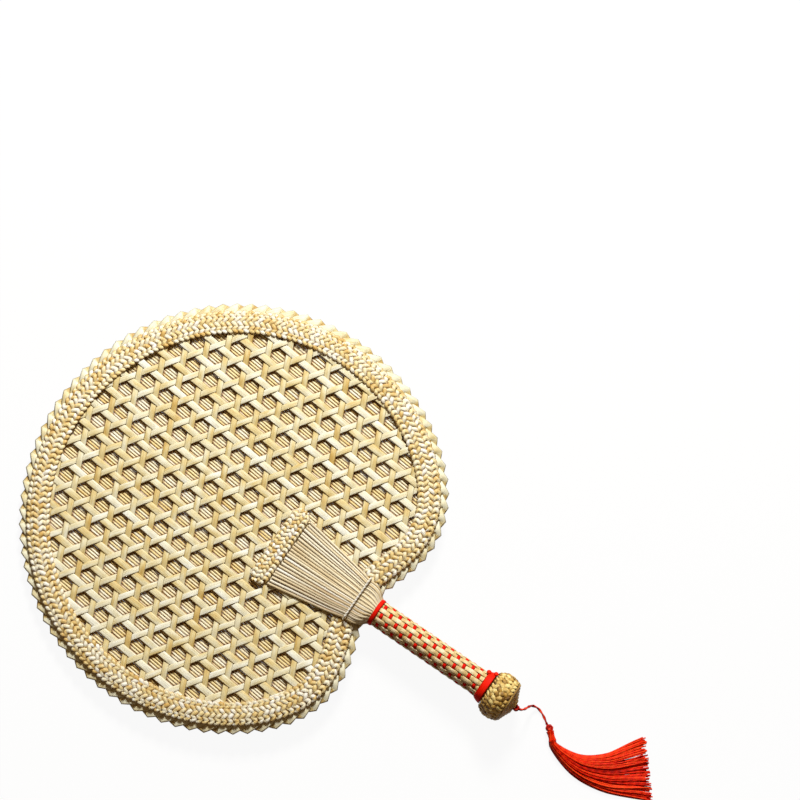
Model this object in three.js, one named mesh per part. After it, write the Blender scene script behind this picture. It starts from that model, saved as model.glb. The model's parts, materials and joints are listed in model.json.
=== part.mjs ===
// Straw fan: a round woven blade between plaited borders, a neck of bound straws,
// a grip of straw stakes laced with ribbon, a coiled knob and a tassel on a cord.
// Millimetres, +Z up, lying front side up. +Y runs from the grip to the blade's far tip.
import * as THREE from 'three';

// Blade outline
const bladeRadius = 141; // centre to the points of the saw-tooth edge
const neckDent = 34; // how far the outline draws in at the grip
const neckDentSpread = 22.5; // degrees to each side in which the dent dies away

// Blade layers, from the middle outwards; the back repeats the front
const coreStrawPitch = 3.7; // two straws of the mat to one ridge
const coreStrawThickness = 2.2;
const coreSeamThickness = 0.8; // where two straws meet
const weavePitch = 13.5; // between neighbouring strips that run the same way
const weaveStripWidth = 4.3;
const weaveThickness = 1.2;
const weaveTurn = -5.8; // degrees that the weave and the core straws lie turned in the blade
const weaveShiftX = 2.6; // one opening's centre, from the blade's centre
const weaveShiftY = -7.7;

// Plaits round the rim
const edgePlaitWidth = 12.9;
const edgePlaitThickness = 2;
const toothPitch = 9.4;
const toothDepth = 4.2;
const borderInset = 5; // from the points of the edge to the border plait
const borderWidth = 16;
const borderThickness = 1.7; // over the weave
const borderSlope = 2.8; // width of its sloping sides
const borderGroove = 0.8; // depth of the two grooves between its three rows of folds

// Neck: the straws that spread from the collar over the blade
const neckRidges = 12; // one for about two straws
const neckGroove = 0.6;
const neckCutDistance = 43; // blade centre to the cut ends of the straws
const neckCutWidth = 51;
const neckCutThickness = 2.5;
const neckWaistWidth = 31;
const neckWaistThickness = 3.1;
const neckWaistLength = 7.5; // between the tie and the shoulders
const neckShoulderInset = 3; // from the blade's edge to the shoulders
const neckLength = 2.7; // from the blade's edge to the collar
const coverWidth = 14;
const coverLength = 55;
const coverThickness = 3.1;
const coverEndLength = 1.7; // in which each end thins out
const coverEndThickness = 1.9;
const tieThreadWidth = 1.2;

// Grip
const gripLength = 88;
const gripCoreRadius = 6.1;
const stakeCount = 15;
const stakeWidth = 2.1;
const stakeThickness = 1.2;
const ribbonWidth = 2.3;
const ribbonThickness = 0.5;
const ribbonPitch = 5.65;
const collarBandWidth = 2.7;
const lowerBandWidth = 5.2;
const bandTurn = 0.97; // of a full turn, so that a band's ends don't meet

// Knob at the end of the grip
const knobLength = 21.2;
const knobPlaitLength = 15.6; // the wide plait round its side, widest at the middle
const knobTopRadius = 12.3;
const knobRadius = 16.4;
const knobRimRadius = 13.9; // where the plait ends and the coils begin
const knobCoils = 4;
const knobGroove = 0.7;
const knobBoreDepth = 12;
const endKnotRadius = 2.2;

// Cord and tassel, lying on the table
const cordDiameter = 1.8;
const tasselKnotRadius = 2.85;
const bindingRadius = 3.15;
const bindingLength = 5;
const skirtEndWidth = 42;
const skirtEndThickness = 3;
const skirtLobes = 6;
const skirtGroove = 0.5;

const clearance = 0.3; // between pieces that rest on each other
const outlineSteps = 48; // the same for every layer, so that their facets stay parallel
const bandSteps = 24;
const latheSteps = 16;

// Heights above the blade's middle
const edgeTop = edgePlaitThickness / 2;
const coreTop = coreStrawThickness / 2;
const weaveBottom = coreTop + clearance;
const weaveTop = weaveBottom + weaveThickness;
const panelSeat = weaveTop + clearance;
const rimSeat = edgeTop + clearance;
const borderTop = panelSeat + borderThickness;
const borderSeat = borderTop + clearance;

// Insets from the points of the edge
const coreInset = edgePlaitWidth + clearance;
const weaveInset = coreInset + clearance;
const borderInnerInset = borderInset + borderWidth;

// Radii round the grip's axis
const ribbonUnderRadius = gripCoreRadius + clearance + ribbonThickness / 2;
const stakeInnerRadius = ribbonUnderRadius + ribbonThickness / 2 + clearance;
const stakeOuterRadius = stakeInnerRadius + stakeThickness;
const ribbonOverRadius = stakeOuterRadius + clearance + ribbonThickness / 2;
const gripRadius = ribbonOverRadius + ribbonThickness / 2;

// Places along Y
const bladeEdgeY = -(bladeRadius - neckDent);
const neckEndY = bladeEdgeY - neckLength;
const gripTopY = neckEndY - clearance;
const gripEndY = gripTopY - gripLength;
const knobTopY = gripEndY - clearance;
const knobEndY = knobTopY - knobLength;
const shoulderY = bladeEdgeY + neckShoulderInset;
const tieY = shoulderY + neckWaistLength;
const neckCutY = -neckCutDistance;
const knobRimY = knobTopY - knobPlaitLength;

const strawColours = {
  core: 0xe8cf8e,
  strip: 0xeadfba,
  plait: 0xe2c890,
  neck: 0xdcd2a2,
  stake: 0xd9bd80,
  knob: 0xb99a58,
};

function straw(colour) {
  return new THREE.MeshStandardMaterial({ color: colour, roughness: 0.55, metalness: 0 });
}

function redRibbon() {
  return new THREE.MeshStandardMaterial({ color: 0xc81e10, roughness: 0.45, metalness: 0 });
}

function redThread() {
  return new THREE.MeshStandardMaterial({ color: 0xcf200f, roughness: 0.8, metalness: 0 });
}

function whiteThread() {
  return new THREE.MeshStandardMaterial({ color: 0xf1eee6, roughness: 0.8, metalness: 0 });
}

function named(name, geometry, material) {
  const mesh = new THREE.Mesh(geometry, material);
  mesh.name = name;
  return mesh;
}

// Blade outline as a circle with a soft dent at the grip; angle 0 points to the grip
function outlineRadius(angle) {
  const fromGrip = Math.atan2(Math.sin(angle), Math.cos(angle));
  const spread = THREE.MathUtils.degToRad(neckDentSpread);
  return bladeRadius - neckDent * Math.exp(-((fromGrip / spread) ** 2));
}

function outlinePoint(angle) {
  const radius = outlineRadius(angle);
  return new THREE.Vector2(radius * Math.sin(angle), -radius * Math.cos(angle));
}

function inwardNormal(angle) {
  const step = 0.001;
  const along = outlinePoint(angle + step).sub(outlinePoint(angle - step)).normalize();
  return new THREE.Vector2(-along.y, along.x);
}

function insetPoint(angle, inset) {
  return outlinePoint(angle).addScaledVector(inwardNormal(angle), inset);
}

function outlineAngle(step) {
  return ((step + 0.5) * 2 * Math.PI) / outlineSteps;
}

function insetLoop(inset) {
  return Array.from({ length: outlineSteps }, (_, k) => insetPoint(outlineAngle(k), inset));
}

// Lowest and highest Y at which an upright line crosses a loop
function spanAt(loop, x) {
  const crossings = [];
  loop.forEach((a, k) => {
    const b = loop[(k + 1) % loop.length];
    if ((a.x - x) * (b.x - x) <= 0 && a.x !== b.x) {
      crossings.push(a.y + ((b.y - a.y) * (x - a.x)) / (b.x - a.x));
    }
  });
  return [Math.min(...crossings), Math.max(...crossings)];
}

// Skins a row of profiles, each placed by its own matrix, and caps both ends unless it closes.
// Profiles run counterclockwise when the row runs towards the viewer.
function loft(profiles, places, closes = false) {
  const size = profiles[0].length;
  const positions = [];
  profiles.forEach((profile, k) => {
    profile.forEach((p) => positions.push(...new THREE.Vector3(p.x, p.y, 0).applyMatrix4(places[k])));
  });
  const triangles = [];
  const rows = closes ? profiles.length : profiles.length - 1;
  for (let k = 0; k < rows; k += 1) {
    const here = k * size;
    const next = ((k + 1) % profiles.length) * size;
    for (let j = 0; j < size; j += 1) {
      const i = (j + 1) % size;
      triangles.push(here + j, here + i, next + i, here + j, next + i, next + j);
    }
  }
  if (!closes) {
    const last = (profiles.length - 1) * size;
    THREE.ShapeUtils.triangulateShape(profiles[0], []).forEach(([a, b, c]) => triangles.push(c, b, a));
    THREE.ShapeUtils.triangulateShape(profiles.at(-1), []).forEach(([a, b, c]) => {
      triangles.push(last + a, last + b, last + c);
    });
  }
  const geometry = new THREE.BufferGeometry();
  geometry.setAttribute('position', new THREE.Float32BufferAttribute(positions, 3));
  geometry.setIndex(triangles);
  geometry.computeVertexNormals();
  return geometry;
}

function place(across, up, along, origin) {
  return new THREE.Matrix4().makeBasis(across, up, along).setPosition(origin);
}

const points2 = (pairs) => pairs.map(([x, y]) => new THREE.Vector2(x, y));

// A mat of straws side by side, each cut where it meets the rim, turned as the weave is
function coreStraws() {
  const turn = THREE.MathUtils.degToRad(weaveTurn);
  const loop = insetLoop(coreInset).map((p) => p.rotateAround(new THREE.Vector2(), -turn));
  const reach = Math.max(...loop.map((p) => p.x)) - clearance;
  const count = Math.floor((2 * reach) / coreStrawPitch);
  const profiles = [];
  const places = [];
  for (let k = 0; k <= 2 * count; k += 1) {
    const x = ((k - count) * coreStrawPitch) / 2;
    const [low, high] = spanAt(loop, x);
    const half = (k % 2 ? coreStrawThickness : coreSeamThickness) / 2;
    profiles.push(points2([[low, -half], [high, -half], [high, half], [low, half]]));
    places.push(place(new THREE.Vector3(0, 1, 0), new THREE.Vector3(0, 0, 1), new THREE.Vector3(1, 0, 0),
      new THREE.Vector3(x, 0, 0)));
  }
  return loft(profiles, places).rotateZ(turn);
}

function neckHalfWidthAt(y) {
  const share = THREE.MathUtils.clamp((y - tieY) / (neckCutY - tieY), 0, 1);
  return THREE.MathUtils.lerp(neckWaistWidth, neckCutWidth, share) / 2;
}

// True where the neck straws or their cover hide most of an opening of the weave
function hiddenByNeck(x, y, openingRadius) {
  const half = y < neckCutY ? neckHalfWidthAt(y) : coverLength / 2;
  return y < neckCutY + coverWidth + openingRadius / 2 && Math.abs(x) < half + openingRadius / 2;
}

// Three families of strips, 60 degrees apart, leave six-sided openings between them
function weavePanel() {
  const panel = new THREE.Shape(insetLoop(weaveInset));
  const turn = THREE.MathUtils.degToRad(weaveTurn);
  const flat = (weavePitch - weaveStripWidth) / 2;
  const openingRadius = flat / Math.cos(Math.PI / 6);
  const spacing = weavePitch / Math.cos(Math.PI / 6);
  const visible = insetLoop(borderInnerInset + 0.7 * openingRadius);
  const reach = Math.ceil((2 * bladeRadius) / spacing);
  for (let row = -reach; row <= reach; row += 1) {
    for (let column = -reach; column <= reach; column += 1) {
      const centre = new THREE.Vector2((row * weavePitch), (column + row / 2) * spacing);
      centre.rotateAround(new THREE.Vector2(), turn).add(new THREE.Vector2(weaveShiftX, weaveShiftY));
      const [low, high] = spanAt(visible, centre.x);
      const inside = centre.y > low && centre.y < high;
      if (inside && !hiddenByNeck(centre.x, centre.y, openingRadius)) {
        panel.holes.push(opening(centre, openingRadius, turn));
      }
    }
  }
  console.log(`weave panel: ${panel.holes.length} openings`);
  const geometry = new THREE.ExtrudeGeometry(panel, { depth: weaveThickness, bevelEnabled: false });
  return geometry.translate(0, 0, weaveBottom);
}

function opening(centre, radius, turn) {
  const corners = Array.from({ length: 6 }, (_, k) => {
    const angle = turn + ((k + 0.5) * Math.PI) / 3;
    return new THREE.Vector2(centre.x + radius * Math.cos(angle), centre.y + radius * Math.sin(angle));
  });
  return new THREE.Path(corners.reverse());
}

// The plait at the very edge, whose folds stand out as teeth
function edgePlait() {
  const teeth = Math.round((2 * Math.PI * bladeRadius) / toothPitch);
  const outer = [];
  for (let k = 0; k < teeth; k += 1) {
    outer.push(insetPoint((k * 2 * Math.PI) / teeth, toothDepth));
    outer.push(insetPoint(((k + 0.5) * 2 * Math.PI) / teeth, 0));
  }
  const plait = new THREE.Shape(outer);
  plait.holes.push(new THREE.Path(insetLoop(edgePlaitWidth).reverse()));
  const geometry = new THREE.ExtrudeGeometry(plait, { depth: edgePlaitThickness, bevelEnabled: false });
  return geometry.translate(0, 0, -edgeTop);
}

// The broad plait on each face: its rim part lies on the edge plait, the rest on the weave.
// The middle row of folds has a flat crown, on which the fan rests.
function borderPlait() {
  const outerRow = borderInset + borderSlope;
  const innerRow = borderInnerInset - borderSlope;
  const acrossRows = (share) => THREE.MathUtils.lerp(innerRow, outerRow, share);
  const profile = points2([
    [borderInset, rimSeat],
    [edgePlaitWidth - clearance, rimSeat],
    [coreInset, panelSeat],
    [borderInnerInset, panelSeat],
    [innerRow, borderTop],
    [acrossRows(0.25), borderTop - borderGroove],
    [acrossRows(0.375), borderTop],
    [acrossRows(0.625), borderTop],
    [acrossRows(0.75), borderTop - borderGroove],
    [outerRow, borderTop],
    [borderInset, (rimSeat + borderTop) / 2],
  ]);
  const up = new THREE.Vector3(0, 0, 1);
  const places = Array.from({ length: outlineSteps }, (_, k) => {
    const angle = outlineAngle(k);
    const origin = outlinePoint(angle);
    const inward = inwardNormal(angle);
    const across = new THREE.Vector3(inward.x, inward.y, 0);
    return place(across, up, across.clone().cross(up), new THREE.Vector3(origin.x, origin.y, 0));
  });
  return loft(places.map(() => profile), places, true);
}

// Section of a bundle of straws or threads: a flat underside and a ridged, crowned top.
// Roundness 2 gives a half ellipse, higher values a flatter bundle.
function bundleSection(half, bottom, top, roundness, count, groove) {
  const side = (top - bottom) / 4;
  const section = points2([[-half, bottom], [half, bottom]]);
  for (let k = 2 * count; k >= 0; k -= 1) {
    const x = (k / count - 1) * half;
    const shoulder = (1 - Math.abs(x / half) ** roundness) ** (1 / roundness);
    const crown = shoulder * (1 - 0.15 * (x / half) ** 2);
    const dip = k % 2 === 0 && k > 0 && k < 2 * count ? groove : 0;
    section.push(new THREE.Vector2(x, bottom + side + (top - bottom - side) * crown - dip * crown));
  }
  return section;
}

// Straws from the collar over the border and down onto the weave
function neckStraws() {
  const waist = neckWaistWidth / 2;
  const waistTop = borderSeat + neckWaistThickness;
  const overBorderY = bladeEdgeY + borderInnerInset + 2 * clearance;
  const offBorderY = overBorderY + panelSeat;
  const pastBorderY = spanAt(insetLoop(borderInset), waist)[0] - clearance;
  const pastEdgeY = spanAt(insetLoop(0), gripRadius)[0] - clearance;
  const onEdgeY = (pastBorderY + pastEdgeY) / 2 + clearance;
  const stations = [
    [neckCutY, neckCutWidth / 2, panelSeat, panelSeat + neckCutThickness, 6],
    [offBorderY, neckHalfWidthAt(offBorderY), panelSeat, panelSeat + neckWaistThickness, 6],
    [overBorderY, neckHalfWidthAt(overBorderY), borderSeat, waistTop, 5],
    [tieY, waist, borderSeat, waistTop, 4],
    [shoulderY, waist, borderSeat, waistTop, 4],
    [pastBorderY, 0.97 * waist, borderSeat, (waistTop + gripRadius) / 2, 3],
    [onEdgeY, (waist + gripRadius) / 2, rimSeat, gripRadius, 2.5],
    [pastEdgeY, THREE.MathUtils.lerp(gripRadius, waist, 0.2), rimSeat, gripRadius, 2.2],
    [neckEndY, gripRadius, clearance / 2, gripRadius, 2],
  ];
  const profiles = stations.map(([, half, bottom, top, roundness]) => (
    bundleSection(half, bottom, top, roundness, neckRidges, neckGroove)));
  const places = stations.map(([y]) => place(new THREE.Vector3(1, 0, 0), new THREE.Vector3(0, 0, 1),
    new THREE.Vector3(0, -1, 0), new THREE.Vector3(0, y, 0)));
  return loft(profiles, places);
}

// Short plait across the blade, against the cut ends of the neck straws
function neckCover() {
  const width = coverWidth - clearance;
  const half = coverLength / 2;
  const stations = [
    [-half, coverEndThickness],
    [coverEndLength - half, coverThickness],
    [half - coverEndLength, coverThickness],
    [half, coverEndThickness],
  ];
  const profiles = stations.map(([, thickness]) => points2([
    [0, 0],
    [width, 0],
    [width, thickness / 3],
    [width * 0.8, thickness],
    [width * 0.2, thickness],
    [0, thickness / 3],
  ]));
  const places = stations.map(([x]) => place(new THREE.Vector3(0, 1, 0), new THREE.Vector3(0, 0, 1),
    new THREE.Vector3(1, 0, 0), new THREE.Vector3(x, neckCutY + clearance, panelSeat)));
  return loft(profiles, places);
}

// Thread drawn over the waist of the neck, down to the border on both sides
function tieThread() {
  const radius = tieThreadWidth / 2;
  const half = neckWaistWidth / 2 + clearance + radius;
  const top = borderSeat + neckWaistThickness + clearance + radius;
  const knee = 1.5;
  const path = points2([
    [-half, borderSeat],
    [-half, top - 2 * knee],
    [-half + knee / 2, top - knee / 2],
    [-half + 2 * knee, top],
    [half - 2 * knee, top],
    [half - knee / 2, top - knee / 2],
    [half, top - 2 * knee],
    [half, borderSeat],
  ]);
  const round = Array.from({ length: 6 }, (_, k) => new THREE.Vector2(
    radius * Math.cos((k * Math.PI) / 3), radius * Math.sin((k * Math.PI) / 3)));
  const lengthwise = new THREE.Vector3(0, 1, 0);
  const places = path.map((p, k) => {
    const before = path[Math.max(k - 1, 0)];
    const after = path[Math.min(k + 1, path.length - 1)];
    const along = new THREE.Vector3(after.x - before.x, 0, after.y - before.y).normalize();
    return place(lengthwise, along.clone().cross(lengthwise), along, new THREE.Vector3(p.x, tieY, p.y));
  });
  return loft(places.map(() => round), places);
}

// Crowned band wound round the grip's axis; radiusAt gives its radius at each turn angle
function woundBand(name, startY, angles, pitch, width, thickness, radiusAt) {
  const downGrip = new THREE.Vector3(0, -1, 0);
  const profile = points2([
    [-width / 2, -thickness / 2],
    [width / 2, -thickness / 2],
    [0, thickness / 2],
  ]);
  const places = angles.map((angle) => {
    const outward = new THREE.Vector3(Math.cos(angle), 0, Math.sin(angle));
    const origin = outward.clone().multiplyScalar(radiusAt(angle));
    origin.y = startY - (pitch * angle) / (2 * Math.PI);
    return place(downGrip, outward, downGrip.clone().cross(outward), origin);
  });
  reportLeastGap(name, angles, places, width);
  return loft(places.map(() => profile), places);
}

// Least gap between points of a wound band that lie about a turn or more apart
function reportLeastGap(name, angles, places, width) {
  const centres = places.map((matrix) => new THREE.Vector3().setFromMatrixPosition(matrix));
  let least = Infinity;
  centres.forEach((a, k) => {
    centres.forEach((b, j) => {
      if (angles[j] - angles[k] < 1.9 * Math.PI) return;
      const beside = Math.abs(a.y - b.y) - width;
      least = Math.min(least, beside > 0 ? beside : a.distanceTo(b));
    });
  });
  console.log(`${name}: least gap to itself ${least.toFixed(2)}`);
}

// Ribbon laced over one stake and under the next; an odd number of stakes staggers the turns
function gripRibbon() {
  const startY = gripTopY - collarBandWidth - clearance - ribbonWidth / 2;
  const lowerBandTopY = gripEndY + lowerBandWidth;
  const room = startY - lowerBandTopY - clearance - ribbonWidth / 2;
  const crossings = Math.floor((room / ribbonPitch) * stakeCount);
  const stakeAngle = (2 * Math.PI) / stakeCount;
  const halfCrossing = 0.36 * stakeAngle;
  const angles = [];
  for (let k = 0; k <= crossings; k += 1) {
    angles.push(k * stakeAngle - halfCrossing, k * stakeAngle + halfCrossing);
  }
  const radiusAt = (angle) => (Math.round(angle / stakeAngle) % 2 ? ribbonUnderRadius : ribbonOverRadius);
  return woundBand('grip ribbon', startY, angles, ribbonPitch, ribbonWidth, ribbonThickness, radiusAt);
}

function plainBand(name, middleY, width) {
  const angles = Array.from({ length: bandSteps + 1 }, (_, k) => (bandTurn * 2 * Math.PI * k) / bandSteps);
  return woundBand(name, middleY, angles, 0, width, ribbonThickness, () => ribbonOverRadius);
}

function gripStake(index) {
  const half = stakeWidth / 2;
  const section = new THREE.Shape(points2([
    [half, 0],
    [half / 2, stakeThickness / 2],
    [-half / 2, stakeThickness / 2],
    [-half, 0],
    [-half / 2, -stakeThickness / 2],
    [half / 2, -stakeThickness / 2],
  ]));
  const geometry = new THREE.ExtrudeGeometry(section, { depth: gripLength, bevelEnabled: false });
  geometry.rotateX(Math.PI / 2);
  geometry.translate(0, gripTopY, (stakeInnerRadius + stakeOuterRadius) / 2);
  const stake = named(`grip_stake_${String(index + 1).padStart(2, '0')}`, geometry, straw(strawColours.stake));
  stake.rotation.y = Math.PI / 2 - (index * 2 * Math.PI) / stakeCount;
  return stake;
}

function gripCore() {
  const bottom = knobTopY - knobBoreDepth + clearance;
  const profile = points2([[0, bottom], [gripCoreRadius, bottom], [gripCoreRadius, gripTopY], [0, gripTopY]]);
  return new THREE.LatheGeometry(profile, latheSteps);
}

// Radius of the knob's plaited side at a share of the way from its top to its rim
function knobSideRadius(share) {
  const end = share < 0.5 ? knobTopRadius : knobRimRadius;
  return knobRadius - (knobRadius - end) * (2 * share - 1) ** 2;
}

// Knob of straw: coils wound round the end and one broad plait round the side.
// It has a blind bore for the grip's core and a cup for the cord's knot.
function knob() {
  const cup = endKnotRadius + clearance;
  const bore = gripCoreRadius + clearance;
  const profile = [
    [0, knobEndY + cup],
    [cup * Math.SQRT1_2, knobEndY + cup * Math.SQRT1_2],
    [cup, knobEndY],
  ];
  const coilSteps = 2 * knobCoils;
  for (let k = 1; k <= coilSteps; k += 1) {
    const share = k / coilSteps;
    const groove = k % 2 ? 0 : knobGroove;
    const rise = (knobRimY - knobEndY) * share ** 0.75;
    profile.push([THREE.MathUtils.lerp(cup, knobRimRadius, share) - groove / 2, knobEndY + rise + groove / 2]);
  }
  const sideSteps = 8;
  for (let k = sideSteps - 1; k > 0; k -= 1) {
    const share = k / sideSteps;
    profile.push([knobSideRadius(share), knobTopY - knobPlaitLength * share]);
  }
  profile.push([knobTopRadius, knobTopY], [bore, knobTopY]);
  profile.push([bore, knobTopY - knobBoreDepth], [0, knobTopY - knobBoreDepth]);
  return new THREE.LatheGeometry(points2(profile), latheSteps, Math.PI / latheSteps);
}

function bothFaces(names, geometry, colourOf) {
  return names.map((name, k) => {
    const mesh = named(name, geometry, colourOf());
    mesh.rotation.y = k * Math.PI;
    return mesh;
  });
}

function fanBody() {
  const fan = new THREE.Group();
  fan.add(named('core_straws', coreStraws(), straw(strawColours.core)));
  fan.add(...bothFaces(['front_weave', 'back_weave'], weavePanel(), () => straw(strawColours.strip)));
  fan.add(named('edge_plait', edgePlait(), straw(strawColours.strip)));
  fan.add(...bothFaces(['front_border_plait', 'back_border_plait'], borderPlait(),
    () => straw(strawColours.plait)));
  fan.add(...bothFaces(['front_neck_straws', 'back_neck_straws'], neckStraws(),
    () => straw(strawColours.neck)));
  fan.add(...bothFaces(['front_neck_cover', 'back_neck_cover'], neckCover(),
    () => straw(strawColours.plait)));
  fan.add(...bothFaces(['front_tie_thread', 'back_tie_thread'], tieThread(), whiteThread));
  fan.add(named('grip_core', gripCore(), straw(strawColours.knob)));
  for (let k = 0; k < stakeCount; k += 1) fan.add(gripStake(k));
  fan.add(named('grip_ribbon', gripRibbon(), redRibbon()));
  const collar = plainBand('collar band', gripTopY - collarBandWidth / 2, collarBandWidth);
  fan.add(named('collar_band', collar, redRibbon()));
  const lowerBand = plainBand('lower band', gripEndY + lowerBandWidth / 2, lowerBandWidth);
  fan.add(named('lower_band', lowerBand, redRibbon()));
  fan.add(named('knob', knob(), straw(strawColours.knob)));
  return fan;
}

// Tips the fan onto its back border and its knob, over the middle of the table
function layOnTable(fan) {
  const farRestY = bladeRadius - borderInset - borderSlope;
  const knobRestY = knobTopY - knobPlaitLength / 2;
  const knobFlat = knobRadius * Math.cos(Math.PI / latheSteps);
  fan.rotation.x = -Math.atan2(knobFlat - borderTop, farRestY - knobRestY);
  const box = new THREE.Box3().setFromObject(fan, true);
  const middle = box.getCenter(new THREE.Vector3());
  fan.position.set(-middle.x, -middle.y, -box.min.z);
  fan.updateMatrixWorld(true);
  return new THREE.Vector3(0, knobEndY, 0).applyMatrix4(fan.matrixWorld);
}

// Route of the cord from the cord's exit: X, Y, and height as a share of the exit's
const cordRoute = [
  [0.5, -2.5, 0.985],
  [1.1, -3.6, 0.93],
  [2.4, -4.8, 0.8],
  [4.2, -5.7, 0.62],
  [5.9, -6.5, 0.43],
  [7.4, -7.7, 0.25],
  [8.3, -9.6, 0.11],
  [8.5, -12, 0.04],
  [7.9, -14.5, 0.015],
  [6.8, -17, 0.01],
  [5.4, -19.4, 0.02],
  [4.2, -21.1, 0.05],
  [3.4, -22.2, 0.1],
];
const tasselKnotPlace = [2.1, -25.1];
const tasselHeading = new THREE.Vector3(-0.676, -0.737, 0).normalize();
const skirtRoute = [[-7.2, -52.9], [-0.6, -71.2], [15.7, -91.4]];

function tasselCord(exit) {
  const rest = cordDiameter / 2;
  const route = cordRoute.map(([x, y, height]) => (
    new THREE.Vector3(exit.x + x, exit.y + y, THREE.MathUtils.lerp(rest, exit.z, height))));
  const path = new THREE.CatmullRomCurve3(route);
  console.log(`tassel cord: ${path.getLength().toFixed(1)} long`);
  const section = new THREE.Shape(Array.from({ length: 8 }, (_, k) => new THREE.Vector2(
    rest * Math.cos((k * Math.PI) / 4), rest * Math.sin((k * Math.PI) / 4))));
  return new THREE.ExtrudeGeometry(section, { steps: 16, extrudePath: path, bevelEnabled: false });
}

// Loose threads that fan out from the binding and lie flat on the table
function tasselSkirt(exit, start) {
  const outOfBinding = start.clone().addScaledVector(tasselHeading, bindingRadius);
  const spread = skirtRoute.map(([x, y]) => new THREE.Vector3(exit.x + x, exit.y + y, 0));
  const path = new THREE.CatmullRomCurve3([start, outOfBinding, ...spread]);
  const up = new THREE.Vector3(0, 0, 1);
  const stations = 9;
  const profiles = [];
  const places = [];
  for (let k = 0; k < stations; k += 1) {
    const share = k / (stations - 1);
    const half = THREE.MathUtils.lerp(bindingRadius, skirtEndWidth / 2, share ** 1.2);
    const height = THREE.MathUtils.lerp(2 * bindingRadius, skirtEndThickness, share ** 0.6);
    const along = k === 0 ? tasselHeading.clone() : path.getTangentAt(share).setZ(0).normalize();
    profiles.push(bundleSection(half, 0, height, 2 + 2 * share, skirtLobes, skirtGroove));
    places.push(place(up.clone().cross(along), up, along, path.getPointAt(share).setZ(0)));
  }
  return loft(profiles, places);
}

function cordAndTassel(exit) {
  const group = new THREE.Group();
  const endKnot = named('cord_end_knot', new THREE.SphereGeometry(endKnotRadius, 8, 6), redThread());
  endKnot.position.copy(exit);
  const knotCentre = new THREE.Vector3(exit.x + tasselKnotPlace[0], exit.y + tasselKnotPlace[1],
    tasselKnotRadius);
  const headKnot = named('tassel_knot', new THREE.SphereGeometry(tasselKnotRadius, 8, 6), redThread());
  headKnot.position.copy(knotCentre);
  const bindingStart = tasselKnotRadius + clearance;
  const binding = named('tassel_binding', new THREE.CylinderGeometry(bindingRadius, bindingRadius,
    bindingLength, 16), redThread());
  binding.quaternion.setFromUnitVectors(new THREE.Vector3(0, 1, 0), tasselHeading);
  binding.position.copy(knotCentre).addScaledVector(tasselHeading, bindingStart + bindingLength / 2);
  binding.position.z = bindingRadius;
  const skirtStart = knotCentre.clone().addScaledVector(tasselHeading,
    bindingStart + bindingLength + clearance).setZ(0);
  group.add(endKnot, headKnot, binding);
  group.add(named('tassel_cord', tasselCord(exit), redThread()));
  group.add(named('tassel_skirt', tasselSkirt(exit, skirtStart), redThread()));
  return group;
}

const fan = fanBody();
const cordExit = layOnTable(fan);
const strawFan = new THREE.Group();
strawFan.add(fan, cordAndTassel(cordExit));

export default strawFan;
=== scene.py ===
# Straw hand fan, lying front side up on a pale table.
# Its parts are drawn in millimetres, the blade flat with its centre at the origin and the
# grip along -Y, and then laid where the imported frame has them.
import bisect
import json
from functools import partialmethod
from itertools import accumulate
from math import asin, atan2, copysign, cos, exp, pi, radians, sin, sqrt
from random import Random

import bpy
from mathutils import Matrix, Vector


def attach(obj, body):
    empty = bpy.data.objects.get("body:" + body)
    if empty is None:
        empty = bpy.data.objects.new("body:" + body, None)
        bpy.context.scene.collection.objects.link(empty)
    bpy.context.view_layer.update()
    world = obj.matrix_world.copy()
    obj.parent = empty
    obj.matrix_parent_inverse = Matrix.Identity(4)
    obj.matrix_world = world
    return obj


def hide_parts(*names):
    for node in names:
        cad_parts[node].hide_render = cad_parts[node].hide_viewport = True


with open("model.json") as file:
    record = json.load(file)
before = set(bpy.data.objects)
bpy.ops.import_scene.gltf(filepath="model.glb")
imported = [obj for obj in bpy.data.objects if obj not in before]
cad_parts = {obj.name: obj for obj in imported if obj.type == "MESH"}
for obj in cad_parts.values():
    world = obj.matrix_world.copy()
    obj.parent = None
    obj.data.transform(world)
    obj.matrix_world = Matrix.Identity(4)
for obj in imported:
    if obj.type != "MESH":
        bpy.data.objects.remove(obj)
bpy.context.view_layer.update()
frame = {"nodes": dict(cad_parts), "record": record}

scene = bpy.context.scene
record = frame["record"]
mm = 0.001
upward = Vector((0, 0, 1))
fullTurn = 2 * pi


def rowNamed(rows, name):
    return next(row for row in rows if row["name"] == name)


def added(name, data):
    made = bpy.data.objects.new(name, data)
    scene.collection.objects.link(made)
    return made


# The rim's mount tells how the flat fan is tipped onto the table
frontRim = rowNamed(record["mounts"], "front_rim_face")
tip = Matrix.Rotation(atan2(-frontRim["axis"][1], frontRim["axis"][2]), 4, "X")
rimPoint = Vector((0, 128, 4.6)) * mm
fanPlace = Matrix.Translation(Vector(frontRim["pos_m"]) - tip @ rimPoint) @ tip @ Matrix.Scale(mm, 4)
backPlace = fanPlace @ Matrix.Rotation(pi, 4, "Y")
tablePlace = Matrix.Scale(mm, 4)
cordExit = Vector(rowNamed(record["behaviour"]["joints"], "cord_swing")["pos_m"])
exitPoint = cordExit / mm
print("frame loaded")

# The picture's middle and its upward direction are given on the flat fan
view = {"middle": (123.0, -45.3), "up": (0.825, 0.565), "elevation": 81, "width": 522, "distance": 1700}


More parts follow.
